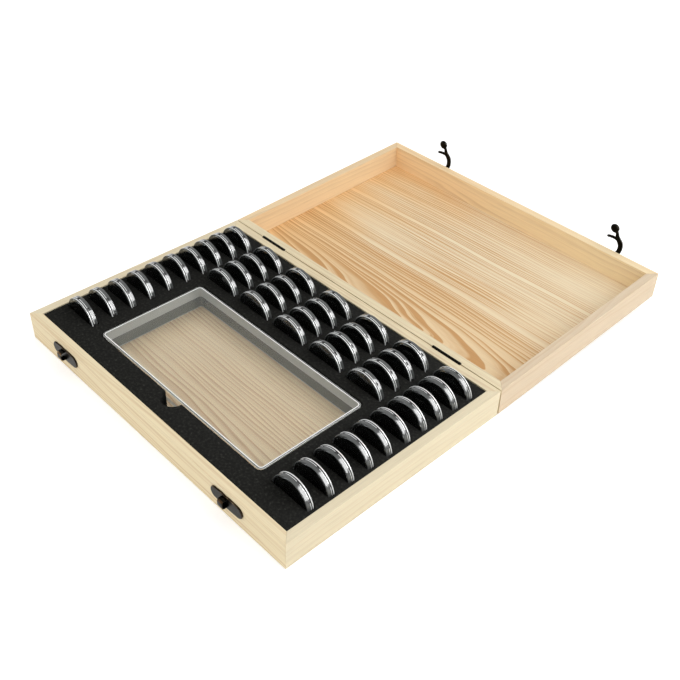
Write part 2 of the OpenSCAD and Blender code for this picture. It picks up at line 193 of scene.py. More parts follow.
white_floor, tree, shader = finish_of("white_floor", Base_Color=(0.9, 0.9, 0.9, 1), Roughness=0.9)
shader.inputs["Emission Color"].default_value = (1, 1, 1, 1)
tree.links.new(calc(tree, "MULTIPLY", seen_directly(tree), floor_glow), shader.inputs["Emission Strength"])
floor_mesh = bpy.data.meshes.new("studio_floor")
corners = [(x * floor_reach, y * floor_reach, floor_z) for x, y in ((-1, -1), (1, -1), (1, 1), (-1, 1))]
floor_mesh.from_pydata(corners, [], [(0, 1, 2, 3)])
floor_mesh.materials.append(white_floor)
studio_floor = bpy.data.objects.new("studio_floor", floor_mesh)
bpy.context.collection.objects.link(studio_floor)


def lamp(name, place, target, size, power, lights=ray_kinds):
    light = bpy.data.lights.new(name, "AREA")
    light.shape, light.size, light.energy = "DISK", size, power
    made = bpy.data.objects.new(name, light)
    made.location = place
    made.rotation_euler = (Vector(target) - Vector(place)).to_track_quat("-Z", "Y").to_euler()
    made.visible_camera = False
    for kind in ray_kinds:
        setattr(made, "visible_" + kind, kind in lights)
    bpy.context.collection.objects.link(made)


lamp("soft_box", (0.95, 0.5, 0.8), (0, 0.1, 0), 1.0, 3.5)
lamp("front_fill", (-0.25, -1.3, 0.45), (0, 0, 0), 1.0, 2.2, ("diffuse",))
lamp("glint_panel", (0.66, 0.31, 0.55), (0.05, 0.05, 0.02), 0.95, 32, ("glossy",))

# %% [markdown]
# ## Pine
# Pine boards show the growth rings of the trunk. A board sawn beside the trunk's middle shows nested arches, and one sawn across the rings shows straight lines.
# A picture of wood could be laid on each face, but it would not run round the edges. Here the wood is a solid pattern: the distance to the trunk's middle line, counted in rings, with a slow wander.
# `middle`, `lean` and `ring` say where that line lay, how it leaned and how wide a ring is. Each ring starts pale, darkens slowly and ends sharply, and fine fibres and soft tone changes lie over it.
# `warm` tints the left end of a board, and `dense` gives the side next to the hinges a deeper tone and stronger lines.

# %% Pine material
slow_size, patch_size, fibre_size = (0.16, 0.028, 0.028), (0.22, 0.05, 0.05), (0.03, 0.0007, 0.0007)
dense_drift, warm_drift = 0.08, 0.22


def fade_along(tree, axis, low, high, slow, drift):
    spot = wire(tree, "ShaderNodeTexCoord").outputs["Object"]
    along = wire(tree, "ShaderNodeSeparateXYZ", {0: spot}).outputs[axis]
    takes = {0: shift(tree, slow, drift, along), 1: low, 2: high, 3: 1.0, 4: 0.0}
    return wire(tree, "ShaderNodeMapRange", takes, interpolation_type="SMOOTHSTEP").outputs[0]


def ring_count(tree, trunk, slow, wander, seed):
    flat = wire(tree, "ShaderNodeVectorMath", {0: trunk, 1: (0, 1, 1)}, operation="MULTIPLY").outputs[0]
    count = wire(tree, "ShaderNodeVectorMath", {0: flat}, operation="LENGTH").outputs["Value"]
    count = shift(tree, slow, wander * 2, count)
    uneven = noise_1d(tree, calc(tree, "MULTIPLY_ADD", count, 0.45, seed * 9))
    return calc(tree, "MULTIPLY_ADD", uneven, 2.2, count)


def ring_darkness(tree, count, late_share):
    begin, rise, full = (1 - late_share * v for v in (1.75, 0.95, 0.4))
    stops = [(0, (0.0,)), (begin, (0.06,)), (rise, (0.42,)), (full, (1.0,)), (0.95, (0.8,)), (1.0, (0.0,))]
    dark = ramp(tree, calc(tree, "FRACT", count), stops)
    return shift(tree, noise_1d(tree, calc(tree, "MULTIPLY", count, 4.3)), 0.55, dark)


def pine(
    name, middle, lean, ring, early, late, across=False, wander=1.2,
    grain=0.5, seed=0.0, warm=None, dense=None, late_share=0.4,
):
    made, tree, shader = finish_of(name, Roughness=0.6, Specular_IOR_Level=0.25)
    side = math.pi / 2 if across else 0
    trunk = places(tree, middle, (lean[0], lean[1], lean[2] + side), (ring,) * 3)
    slow = noise(tree, places(tree, (seed, seed / 2, 0), (0, 0, side), slow_size), detail=2)
    dark = ring_darkness(tree, ring_count(tree, trunk, slow, wander, seed), late_share)
    patch = noise(tree, places(tree, (seed * 2, 0, 0), (0, 0, side), patch_size))
    patch = ramp(tree, patch, [(0.32, (0.3,)), (0.66, (1.0,))])
    fibre = noise(tree, places(tree, turn=(0, 0, side), size=fibre_size), detail=3, Roughness=0.6)
    lines = calc(tree, "MULTIPLY", dark, calc(tree, "MULTIPLY", patch, grain))
    lines = calc(tree, "MAXIMUM", lines, 0.0)
    pale = early
    if dense:
        tone, low, high, gain = dense
        near = fade_along(tree, 1, low, high, slow, dense_drift)
        lines = calc(tree, "MULTIPLY", lines, calc(tree, "MULTIPLY_ADD", near, gain, 1.0))
        lines = calc(tree, "MINIMUM", lines, 1.0)
        pale = mix(tree, near, early, tone)
    if warm:
        tone, low, high = warm
        pale = mix(tree, fade_along(tree, 0, low, high, slow, warm_drift), pale, tone)
    colour = mix(tree, lines, pale, late)
    streak = ramp(tree, fibre, [(0.3, (0.90,)), (0.52, (0.985,)), (0.75, (1.03,))])
    colour = mix(tree, 1.0, colour, streak, "MULTIPLY")
    tree.links.new(colour, shader.inputs["Base Color"])
    tree.links.new(spread(tree, lines, 0.66, 0.5), shader.inputs["Roughness"])
    bump(tree, shader, calc(tree, "MULTIPLY_ADD", dark, 0.35, fibre), 0.35, 0.00006)
    return made


early_wood = (0.84, 0.72, 0.485, 1)
late_wood = (0.58, 0.37, 0.18, 1)
woods = {
    "base_front_wall": pine(
        "pine_front", (0, 0.12, -0.16), (0.004, 0.016, 0.012), 0.0036,
        (0.87, 0.74, 0.49, 1), late_wood, grain=0.5, seed=1.3,
    ),
    "base_rear_wall": pine(
        "pine_rear", (0, -0.2, -0.17), (0, -0.01, 0.012), 0.0045,
        early_wood, late_wood, grain=0.5, seed=2.1,
    ),
    "base_side_walls": pine(
        "pine_sides", (0.02, 0, -0.3), (0.006, 0.01, -0.012), 0.0055,
        (0.81, 0.71, 0.50, 1), late_wood, across=True, grain=0.25, seed=3.7,
    ),
    "base_floor": pine(
        "pine_bottom", (0, -0.11, -0.06), (0, 0.05, 0.02), 0.0034,
        (0.98, 0.81, 0.56, 1), (0.68, 0.43, 0.23, 1), grain=0.85, seed=4.9,
    ),
    "lid_front_wall": pine(
        "pine_lid_front", (0, 0.1, -0.2), (0, 0.012, -0.01), 0.0045,
        (0.93, 0.77, 0.49, 1), late_wood, grain=0.5, seed=5.2,
        warm=((0.95, 0.70, 0.41, 1), -0.25, 0.3),
    ),
    "lid_rear_wall": pine(
        "pine_lid_rear", (0, 0.5, -0.12), (0, -0.012, 0.006), 0.004,
        early_wood, late_wood, grain=0.45, seed=6.4,
    ),
    "lid_side_walls": pine(
        "pine_lid_sides", (-0.05, 0, -0.3), (0, -0.008, 0.01), 0.006,
        (0.73, 0.59, 0.42, 1), late_wood, across=True, grain=0.3, seed=7.7,
        warm=((0.88, 0.67, 0.41, 1), -0.19, -0.1),
    ),
    "lid_panel": pine(
        "pine_panel", (0.02, 0.162, -0.044), (0, 0.075, 0.05), 0.003,
        (0.89, 0.76, 0.53, 1), (0.62, 0.34, 0.13, 1), grain=1.15, wander=1.1, seed=8.5,
        warm=((0.92, 0.62, 0.31, 1), -0.2, -0.03), dense=((0.86, 0.66, 0.40, 1), 0.2, 0.28, 1.3),
        late_share=0.46,
    ),
}
print("pine boards", list(woods))

# %% [markdown]
# ## Boards
# The box is made of mitred boards, and a sharp modelled edge never catches light as a sanded one does.
# Each board could be modelled again from a cube, but the frame already holds it with its rebate and its hinge seats.
# So the frame's mesh is copied, its loose triangles are joined, and a fine bevel rounds every edge.

# %% Boards
sanded_edge = 0.0004
weld = 2e-6


@contextmanager
def edited(mesh):
    shape = bmesh.new()
    shape.from_mesh(mesh)
    yield shape
    shape.to_mesh(mesh)
    shape.free()


def plain_mesh(piece):
    seen = piece.evaluated_get(bpy.context.evaluated_depsgraph_get())
    result = bpy.data.meshes.new_from_object(seen)
    piece.modifiers.clear()
    piece.data = result
    result.name = piece.name
    return piece


def softened(node, name, edge, steps=2, angle=30, edge_slot=-1):
    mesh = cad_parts[node].data.copy()
    mesh.name = name
    with edited(mesh) as shape:
        bmesh.ops.remove_doubles(shape, verts=shape.verts, dist=weld)
        bmesh.ops.dissolve_limit(shape, angle_limit=math.radians(1), verts=shape.verts, edges=shape.edges)
    piece = bpy.data.objects.new(name, mesh)
    bpy.context.collection.objects.link(piece)
    round_edge = piece.modifiers.new("round_edge", "BEVEL")
    round_edge.width, round_edge.segments = edge, steps
    round_edge.limit_method, round_edge.angle_limit = "ANGLE", math.radians(angle)
    round_edge.harden_normals = True
    round_edge.material = edge_slot
    if edge_slot > 0:
        mesh.materials.clear()
        for slot in range(edge_slot + 1):
            mesh.materials.append(None)
    return plain_mesh(piece)


def dress(piece, finish, body, slot, *nodes):
    if finish:
        piece.data.materials.clear()
        piece.data.materials.append(finish)
    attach(piece, body)
    if nodes:
        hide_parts(*nodes)
    return piece


for node, finish in woods.items():
    board_name = node.replace("wall", "board").replace("panel", "top_board") + "_sanded"
    board = softened(node, board_name, sanded_edge)
    body = "lid" if node.startswith("lid") else "base"
    slot = "pine_panel" if node in ("lid_panel", "base_floor") else "pale_pine"
    dress(board, finish, body, slot, node)
    print(board.name, len(board.data.polygons), "faces")

# %% [markdown]
# ## Plates with rounded edges
# The foam bed, the latch plates and the hooks are all cut from sheet, with an outline and perhaps some holes.
# They could be built by cutting boxes with each other, but a flat curve does it in one step: its first outline is filled, the others are left open, and its own bevel rounds the edges.
# The outlines are written in millimetres, and the result becomes a plain mesh in its place.

# %% Plate helper
def arc(centre, radius, start, end, steps):
    turns = [math.radians(start + (end - start) * i / steps) for i in range(steps + 1)]
    return [(centre[0] + radius * math.cos(t), centre[1] + radius * math.sin(t)) for t in turns]


def round_box(centre, length, width, radius, steps=6):
    x, y = length / 2 - radius, width / 2 - radius
    points = []
    for cx, cy, turn in [(x, y, 0), (-x, y, 90), (-x, -y, 180), (x, -y, 270)]:
        points += arc((centre[0] + cx, centre[1] + cy), radius, turn, turn + 90, steps)
    return points


def plate(name, outlines, thickness, edge, place, steps=2):
    curve = bpy.data.curves.new(name, "CURVE")
    curve.dimensions, curve.fill_mode = "2D", "BOTH"
    curve.extrude, curve.bevel_depth = (thickness / 2 - edge) * mm, edge * mm
    curve.offset, curve.bevel_resolution = -edge * mm, steps
    for outline in outlines:
        line = curve.splines.new("POLY")
        line.points.add(len(outline) - 1)
        for point, (x, y) in zip(line.points, outline):
            point.co = (x * mm, y * mm, 0, 1)
        line.use_cyclic_u = True
    flat = bpy.data.objects.new(name, curve)
    bpy.context.collection.objects.link(flat)
    mesh = bpy.data.meshes.new_from_object(flat.evaluated_get(bpy.context.evaluated_depsgraph_get()))
    bpy.data.objects.remove(flat)
    mesh.transform(place)
    with edited(mesh) as shape:
        bmesh.ops.remove_doubles(shape, verts=shape.verts, dist=weld / 2)
        bmesh.ops.recalc_face_normals(shape, faces=shape.faces)
    mesh.name = name
    piece = bpy.data.objects.new(name, mesh)
    bpy.context.collection.objects.link(piece)
    return piece


print("plate helper ready")

# %% [markdown]
# ## Foam bed
# The bed is a firm black foam plate with a slot for each capsule and a big cut-out with a finger notch for the inner case.
# Its cut edges are soft, and its open cells show as fine pale specks on near black.
# The slots follow the frame's capsules, so each outline is read from the capsule's own box.

# %% Foam bed
case_play, case_corner, notch_r, foam_edge = 1.2, 6.2, 12, 0.5

foam_black, tree, shader = finish_of("foam_black", Roughness=0.95, Specular_IOR_Level=0.08)
spot = places(tree)
cells = wire(tree, "ShaderNodeTexVoronoi", {"Vector": spot, "Scale": 900.0}).outputs["Distance"]
cloud = noise(tree, spot, 420.0, 3)
specks = [(0.42, (0.0065, 0.0065, 0.0055)), (0.6, (0.0135, 0.0135, 0.0115)), (0.76, (0.034, 0.034, 0.030))]
tree.links.new(ramp(tree, cloud, specks), shader.inputs["Base Color"])
bump(tree, shader, calc(tree, "ADD", cells, cloud), 0.8, 0.0003)

capsules = [f"capsule_{i + 1:02d}" for i in range(40)]
foam_low, foam_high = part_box("foam_insert")
case_low, case_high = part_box("case_tray")


def outline_of(low, high, play_x, play_y, radius):
    centre = ((low.x + high.x) / 2 / mm, (low.y + high.y) / 2 / mm)
    return round_box(centre, (high.x - low.x) / mm + 2 * play_x, (high.y - low.y) / mm + 2 * play_y, radius)


cut = outline_of(case_low, case_high, case_play, case_play, case_corner)
front_y = min(y for x, y in cut)
notch = arc((0, front_y), notch_r, 180, 360, 20)
split = next(i for i, (x, y) in enumerate(cut) if y < front_y + 0.01 and x > 0)
cut = cut[:split] + notch + cut[split:]
slots = [outline_of(*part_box(name), 0.4, 0.3, 0.6) for name in capsules]
foam_outlines = [outline_of(foam_low, foam_high, 0, 0, 0.8), cut, *slots]
foam_place = Matrix.Translation((0, 0, (foam_low.z + foam_high.z) / 2))
foam = plate("foam_bed", foam_outlines, (foam_high.z - foam_low.z) / mm, foam_edge, foam_place)
dress(foam, foam_black, "base", "black_foam", "foam_insert")
print("foam bed", len(foam.data.polygons), "faces,", len(slots), "slots")

# %% [markdown]
# ## Turned pieces
# Shells, rings, studs and knobs are round, so they are turned from a half profile, as on a lathe.
# A Screw modifier could do it, but the capsule's rim has grip notches, so the turning is written out: one ring of points for every step of the turn, with extra steps at the notch walls.

# %% Turning helper
def turned(name, profile, turns, notch=None):
    points, faces, rings = [], [], []
    for r, z in profile:
        if r < 1e-9:
            rings.append([len(points)])
            points.append((0, 0, z * mm))
            continue
        row = []
        for t in turns:
            radius = notch(r, z, t) if notch else r
            row.append(len(points))
            points.append((radius * mm * math.cos(t), radius * mm * math.sin(t), z * mm))
        rings.append(row)
    pairs = list(zip(rings, rings[1:]))
    if len(rings[0]) > 1:
        pairs.append((rings[-1], rings[0]))
    for a, b in pairs:
        for i in range(len(turns)):
            j = (i + 1) % len(turns)
            if len(a) == 1:
                faces.append((a[0], b[j], b[i]))
            elif len(b) == 1:
                faces.append((a[i], a[j], b[0]))
            else:
                faces.append((a[i], a[j], b[j], b[i]))
    mesh = bpy.data.meshes.new(name)
    mesh.from_pydata(points, [], faces)
    with edited(mesh) as shape:
        bmesh.ops.recalc_face_normals(shape, faces=shape.faces)
    mesh.shade_smooth()
    mesh.set_sharp_from_angle(angle=math.radians(38))
    return bpy.data.objects.new(name, mesh)


def even_turns(steps):
    return [2 * math.pi * i / steps for i in range(steps)]


def joined(name, parts):
    mesh = bpy.data.meshes.new(name)
    with edited(mesh) as shape:
        for part in parts:
            shape.from_mesh(part.data)
            bpy.data.objects.remove(part)
    piece = bpy.data.objects.new(name, mesh)
    bpy.context.collection.objects.link(piece)
    return piece


print("turning helper ready")

# %% [markdown]
# ## Capsule shells
# A coin capsule is two clear shells that meet at a seam round its rim, with small grip notches there, and a black ring inside that centres the coin.
# The two shells could be one shape used twice, but the seam lies off the middle of the rim, so the wide shell has the notches and the narrow one is plain. A shallow groove runs between them.
# The rim shows grey with white lines, so each face is marked by where it lies and gets painted light: a painted
# highlight for a white line, a painted grey reflection for the darker band, and painted shade for a sunk grip or
# groove.

# %% Capsule profiles
capsule_low, capsule_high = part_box("capsule_01")
outer = (capsule_high.x - capsule_low.x) / 2 / mm
half = (capsule_high.y - capsule_low.y) / 2 / mm
rim, face, lip = 1.6, 1.0, 0.45
wide_end, narrow_end, groove = 0.9, 2.0, 0.85
grip_turns = [math.radians(22.5 + 45 * i) for i in range(8)]
grip_half, grip_depth = 1.45 / outer, 0.9


def shell_profile(side, end, grips):
    reach = abs(end - side * half)
    steps = [(0, 0), (0.75, 0), (0.3, 0.1), (0.05, 0.35), (0, 0.6)]
    if grips:
        steps += [(0, reach - 2.0), (0, reach - 1.8)]
    steps += [(0, reach - 0.6), (0.06, reach - 0.08), (0.2, reach), (groove, reach), (groove, reach + lip)]
    steps += [(rim + 0.9, reach + lip), (rim + 0.9, face + 0.4), (rim + 1.3, face), (0, face)]
    last = len(steps) - 1
    return [(0 if i in (0, last) else outer - inward, side * (half - h)) for i, (inward, h) in enumerate(steps)]


def near_grip(t, spare=1e-4):
    return min(abs((t - g + math.pi) % (2 * math.pi) - math.pi) for g in grip_turns) < grip_half + spare


def with_grips(r, z, t):
    return min(r, outer - grip_depth) if near_grip(t) and wide_end - 1.9 < z < wide_end + 0.01 else r


def shell_turns():
    turns = set(round(t, 5) for t in even_turns(112))
    for g in grip_turns:
        turns = {t for t in turns if abs(t - g) > grip_half + 0.012 or abs(t - g) < 0.01}
        turns |= {round(g + s * (grip_half + d), 5) for s in (-1, 1) for d in (0, 0.008)}
    return sorted(turns)


# Faces found here get painted shade: the grip notches and the groove between the shells are finished near black.
def is_sunk(r, t, z):
    in_grip = near_grip(t, 0.007) and outer - 1.1 < r < outer - 0.02 and wide_end - 2.1 < z < wide_end + 0.02
    return in_grip or (outer - 1.1 < r < outer - 0.25 and wide_end - 0.02 < z < narrow_end + 0.02)


# Faces found here get a painted highlight: the thin white lines along the rim's edges.
def is_highlight_line(r, t, z):
    return r > outer - 0.18 and (wide_end - 0.7 < z < wide_end or z > narrow_end) and not is_sunk(r, t, z)


# Faces found here get a painted grey reflection across the rim's band.
def is_band(r, t, z):
    return r > outer - 0.6 and not is_highlight_line(r, t, z) and not is_sunk(r, t, z)


def mark(piece, name, test):
    marks = piece.data.attributes.new(name, "BOOLEAN", "FACE")
    for polygon in piece.data.polygons:
        x, y, z = polygon.center
        marks.data[polygon.index].value = test(math.hypot(x, y) / mm, math.atan2(y, x), z / mm)


ring_half = half - face - 0.1
ring_side = [(13.0, ring_half - 0.3), (13.3, ring_half), (17.45, ring_half), (17.75, ring_half - 0.3)]
ring_profile = [(r, -z) for r, z in ring_side] + ring_side[::-1]
wide_shell = turned("wide_shell", shell_profile(-1, wide_end, True), shell_turns(), with_grips)
narrow_shell = turned("narrow_shell", shell_profile(1, narrow_end, False), even_turns(112))
for shell in (wide_shell, narrow_shell):
    for label, test in (("edge", is_highlight_line), ("band", is_band), ("grip", is_sunk)):
        mark(shell, label, test)
ring_master = turned("ring_master", ring_profile, even_turns(64))
face_counts = [len(shell.data.polygons) for shell in (wide_shell, narrow_shell, ring_master)]
print("shells", *face_counts[:2], "faces, ring", face_counts[2])

# %% [markdown]
# ## Clear plastic
# Polystyrene is clear and smooth, and shows itself by its reflections and by the thin bright lines at its edges.
# A mix of a transparent and a glossy shader would be quicker to render, but a Principled shader with transmission also bends light.
# In the photograph the rims and the walls of the case look grey or white rather than clear, because they hold many reflections close together. Those faces have finishes of their own that let less light through.
# A very fine unevenness keeps the reflections from looking like a computer's.

# %% Clear plastic and black ring
def plastic(name, tint, rough, wave=0.1, through=1.0, ior=1.49):
    sockets = dict(Base_Color=(*tint, 1), Roughness=rough, IOR=ior, Transmission_Weight=through)
    made, tree, shader = finish_of(name, **sockets)
    uneven = noise(tree, places(tree), 60.0)
    tree.links.new(spread(tree, uneven, rough * 0.8, rough * 1.2), shader.inputs["Roughness"])
    if wave:
        bump(tree, shader, uneven, wave, 0.0002)
    return made


capsule_clear = plastic("capsule_clear", (0.5, 0.52, 0.52), 0.06, wave=0.0)
# The capsule's edge, band and grip finishes are painted light: a white painted highlight, a grey painted reflection and
# near-black painted shade.
capsule_edge = plastic("capsule_edge", (0.9, 0.92, 0.91), 0.15, through=0.1)
capsule_band = plastic("capsule_band", (0.09, 0.095, 0.093), 0.13, through=0.12)
capsule_grip = plastic("capsule_grip", (0.012, 0.012, 0.012), 0.4, through=0.1)
case_clear = plastic("case_clear", (0.985, 0.985, 0.975), 0.02, wave=0.03, ior=1.22)
# The case's edge, wall and ledge finishes are painted light: white painted highlights, grey painted reflections on the
# walls and a dark painted shade line.
case_edge = plastic("case_edge", (0.8, 0.81, 0.78), 0.15, through=0.3)
cover_wall_painted_reflection = plastic("case_cover_wall", (0.75, 0.77, 0.73), 0.1, through=0.35)
tray_wall_painted_reflection = plastic("case_tray_wall", (0.4, 0.42, 0.38), 0.08, through=0.6)
bright_ledge_painted_highlight = plastic("case_bright_ledge", (1.0, 1.0, 0.98), 0.12, through=0.0)
dim_ledge_painted_shade = plastic("case_dim_ledge", (0.16, 0.17, 0.16), 0.12, through=0.5)

ring_black, tree, shader = finish_of("ring_black", Roughness=0.85, Specular_IOR_Level=0.2)
speckle = noise(tree, places(tree), 700.0, 2)
blacks = [(0.3, (0.006, 0.006, 0.006)), (0.7, (0.016, 0.016, 0.016))]
tree.links.new(ramp(tree, speckle, blacks), shader.inputs["Base Color"])
bump(tree, shader, speckle, 0.5, 0.0001)
print("clear plastic and ring finishes ready")

# %% [markdown]
# ## Capsules in their slots
# All 40 capsules are alike, so this is a case for Geometry Nodes. One tree takes a turned part, spins it about its own
# axis, stands it up in its slot and gives the marked faces their finishes of painted highlight, painted grey reflection
# and painted shade.
# Instances on a list of points would need only one run, but each capsule lifts out by itself and must be a mesh of its own, so the tree runs once for each.
# The right column is turned round, as in the photograph.

# %% Capsule tree
def new_tree(name, **inputs):
    tree = bpy.data.node_groups.new(name, "GeometryNodeTree")
    for label, kind in inputs.items():
        tree.interface.new_socket(label, in_out="INPUT", socket_type="NodeSocket" + kind)
    tree.interface.new_socket("Geometry", in_out="OUTPUT", socket_type="NodeSocketGeometry")
    return tree, wire(tree, "NodeGroupInput").outputs


def realized(tree, geometry, finish):
    real = wire(tree, "GeometryNodeRealizeInstances", {0: geometry}).outputs[0]
    return wire(tree, "GeometryNodeSetMaterial", {"Geometry": real, "Material": finish}).outputs[0]


def grown(name, tree, **values):
    piece = bpy.data.objects.new(name, bpy.data.meshes.new(name))
    bpy.context.collection.objects.link(piece)
    grow = piece.modifiers.new("grow", "NODES")
    grow.node_group = tree
    sockets = {s.name: s.identifier for s in tree.interface.items_tree if s.in_out == "INPUT"}
    for label, value in values.items():
        grow[sockets[label]] = value
    return plain_mesh(piece)


# Edge, Band and Grip carry the painted highlight, painted grey reflection and painted shade finishes.
marked_finishes = ("Edge", "Band", "Grip")
capsule_tree, given = new_tree(
    "capsule_in_slot", Part="Object", Place="Vector", Spin="Vector",
    Finish="Material", **{label: "Material" for label in marked_finishes},
)
part = wire(capsule_tree, "GeometryNodeObjectInfo", {"Object": given["Part"]}).outputs["Geometry"]
spun = wire(capsule_tree, "GeometryNodeTransform", {"Geometry": part, "Rotation": given["Spin"]}).outputs[0]
stand = {"Geometry": spun, "Rotation": (math.pi / 2, 0, 0), "Translation": given["Place"]}
stood = realized(capsule_tree, wire(capsule_tree, "GeometryNodeTransform", stand).outputs[0], given["Finish"])
for label in marked_finishes:
    marked = wire(capsule_tree, "GeometryNodeInputNamedAttribute", {"Name": label.lower()}, data_type="BOOLEAN")
    takes = {"Geometry": stood, "Selection": marked.outputs[0], "Material": given[label]}
    stood = wire(capsule_tree, "GeometryNodeSetMaterial", takes).outputs[0]
wire(capsule_tree, "NodeGroupOutput", {0: stood})

pair_master = joined("pair_master", [wide_shell, narrow_shell])
bpy.context.collection.objects.unlink(pair_master)
shell_finishes = dict(Finish=capsule_clear, Edge=capsule_edge, Band=capsule_band, Grip=capsule_grip)
ring_finishes = dict.fromkeys(("Finish", *marked_finishes), ring_black)
total = 0
for i, name in enumerate(capsules):
    low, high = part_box(name)
    on_right = 10 <= i < 20
    turn = 11 + 4 * math.sin(i * 1.7) if on_right else 31 + 3 * math.sin(i * 2.4)
    seat = dict(Place=(low + high) / 2, Spin=(math.pi if on_right else 0, 0, math.radians(turn)))
    shells = grown(f"{name}_shells", capsule_tree, Part=pair_master, **seat, **shell_finishes)
    ring = grown(f"{name}_ring", capsule_tree, Part=ring_master, **seat, **ring_finishes)
    dress(shells, None, name, "clear_capsule", name)
    dress(ring, None, name, "black_foam", name)
    total += len(shells.data.polygons) + len(ring.data.polygons)
shares = [sum(p.material_index == i for p in shells.data.polygons) for i in range(4)]
print("capsules", len(capsules), "faces", total, "faces of each finish", shares, [m.name for m in shells.data.materials])

# %% [markdown]
# ## Inner case
# The case for a certificate or a note is a flat clear tray with a clear cover pressed on it.
# It could be drawn from its outline again, but the frame holds its lip and its thin walls, so its two halves are softened as the boards are.
# The bevel gives its own faces a second finish, a painted highlight, because a moulded edge gathers light and shows as
# a white line. The upright walls are painted greyer, as a painted reflection, except those at the finger notch, where
# one looks through them at pale wood.
# Two narrow borders round the top of the cover paint the dark and the bright line that its lip shows, as a painted
# shade line and a painted highlight line.

# %% Inner case
case_bevel, dim_width, bright_width = 0.0006, 0.0009, 0.0010
notch_wall_y = case_low.y + 0.004
clear_slot, edge_slot, wall_slot, dim_slot, bright_slot = range(5)
for node, body, wall in (("case_tray", "case", tray_wall_painted_reflection), ("case_cover", "case_cover", cover_wall_painted_reflection)):
    shell = softened(node, node + "_clear", case_bevel, 3, 25, edge_slot)
    shell.data.materials[clear_slot], shell.data.materials[edge_slot] = case_clear, case_edge
    shell.data.materials.append(wall)
    # Upright faces away from the finger notch take the wall's painted grey reflection.
    for polygon in shell.data.polygons:
        upright_face = polygon.material_index == clear_slot and abs(polygon.normal.z) < 0.3
        if upright_face and polygon.center.y >= notch_wall_y:
            polygon.material_index = wall_slot
    if node == "case_cover":
        # The two inset borders are a painted shade line and a painted highlight line.
        shell.data.materials.append(dim_ledge_painted_shade)
        shell.data.materials.append(bright_ledge_painted_highlight)
        with edited(shell.data) as shape:
            top_z = max(v.co.z for v in shape.verts) - 1e-5
            clear_up = [f for f in shape.faces if f.normal.z > 0.99 and f.material_index == clear_slot]
            top = [f for f in clear_up if all(v.co.z > top_z for v in f.verts)]
            for width, border_slot in ((dim_width, dim_slot), (bright_width, bright_slot)):
                inset = bmesh.ops.inset_region(shape, faces=top, thickness=width, use_even_offset=True)
                for border in inset["faces"]:
                    border.material_index = border_slot
    dress(shell, None, body, "clear_plastic", node)
    print(shell.name, len(shell.data.polygons), "faces")

# %% [markdown]
# ## Bronzed steel
# The small fittings are pressed from thin steel and plated dark bronze, browner where a thumb has rubbed the edges, and
# that brown also stands in for light catching those edges as a painted highlight.
# Brown edges could be found by a shader that looks for them, but such a look is lost when the model leaves Blender. So
# there are two metals, near black and a brighter brown that is partly wear and partly painted highlight, and the
# brighter one goes on the rounded edges.
# Both have a slow change of tone and a slightly uneven polish.

# %% Bronzed steel
def bronzed(name, dark, middle, bright, rough):
    made, tree, shader = finish_of(name, Metallic=1.0, Roughness=rough)
    tone = noise(tree, places(tree), 260.0, 3)
    tree.links.new(ramp(tree, tone, [(0.3, dark), (0.6, middle), (0.8, bright)]), shader.inputs["Base Color"])
    tree.links.new(spread(tree, tone, rough - 0.1, rough + 0.1), shader.inputs["Roughness"])
    bump(tree, shader, tone, 0.4, 0.00008)
    return made


bronze = bronzed("bronzed_steel", (0.003, 0.003, 0.0025), (0.009, 0.008, 0.006), (0.035, 0.027, 0.018), 0.38)
# The brighter brown stops are partly rubbed wear and partly a painted highlight along the edges.
bronze_wear_and_highlight = bronzed("bronzed_steel_worn", (0.03, 0.018, 0.010), (0.10, 0.060, 0.032), (0.4, 0.29, 0.17), 0.27)
print("bronzed steel ready")

# %% [markdown]
# ## Hinges
# Each hinge is two thin leaves let into the rear walls, with curled knuckles round a pin.
# They could be bent from a plate as the straps are, but the frame's leaves have all their knuckles and holes, so they only need their edges broken and their metal.

# %% Hinges
for node, body in (("hinge_base_leaves", "base"), ("hinge_lid_leaves", "lid"), ("hinge_pins", "base")):
    fitting = softened(node, node + "_bronzed", 0.00012, 2)
    dress(fitting, bronze, body, "bronzed_steel", node)
    print(fitting.name, len(fitting.data.polygons), "faces")

# %% [markdown]
# ## Keepers and stud plates
# Each latch has two pressed plates with rounded ends and a slightly wavy outline, one on the base with a raised strap and one on the lid with a stud.
# The frame's own plates could be softened like the hinges, but the photograph shows them fuller, so both are drawn from one outline.
# The lid's plates are drawn where they are on the closed box, and `lid_turn` then opens them with the lid.

# %% Keepers and stud plates
axis_y, axis_z, opening = 127.6, 29.7, -178
to_axis = Matrix.Translation((0, axis_y * mm, axis_z * mm))
from_axis = Matrix.Translation((0, -axis_y * mm, -axis_z * mm))
lid_turn = to_axis @ Matrix.Rotation(math.radians(opening), 4, "X") @ from_axis
upright = Matrix.Rotation(math.pi / 2, 4, "X")
face_y = -127
plate_t, plate_edge = 1.6, 0.85
keeper_places = [(-125.9, 17.9), (115.5, 17.9)]
stud_places = [(-112.9, 41.8), (128.5, 41.8)]


def at_front(x, z, out):
    return Matrix.Translation((x * mm, (face_y - out) * mm, z * mm)) @ upright


def latch_outline():
    right = arc((15.3, 0.1), 6.5, -98, 96, 14)
    crown = [(9.4, 6.9), (5.0, 7.0), (0.9, 6.3), (-4.0, 7.0), (-7.8, 6.6)]
    left = arc((-12.4, 0.1), 6.1, 84, 264, 14)
    under = [(-7.6, -6.4), (-4.0, -6.8), (0, -6.9), (5.2, -6.9), (10.4, -6.7)]
    return right + crown + left + under


def latch_plate(name, x, z):
    return plate(name, [latch_outline()], plate_t, plate_edge, at_front(x, z, plate_t / 2))


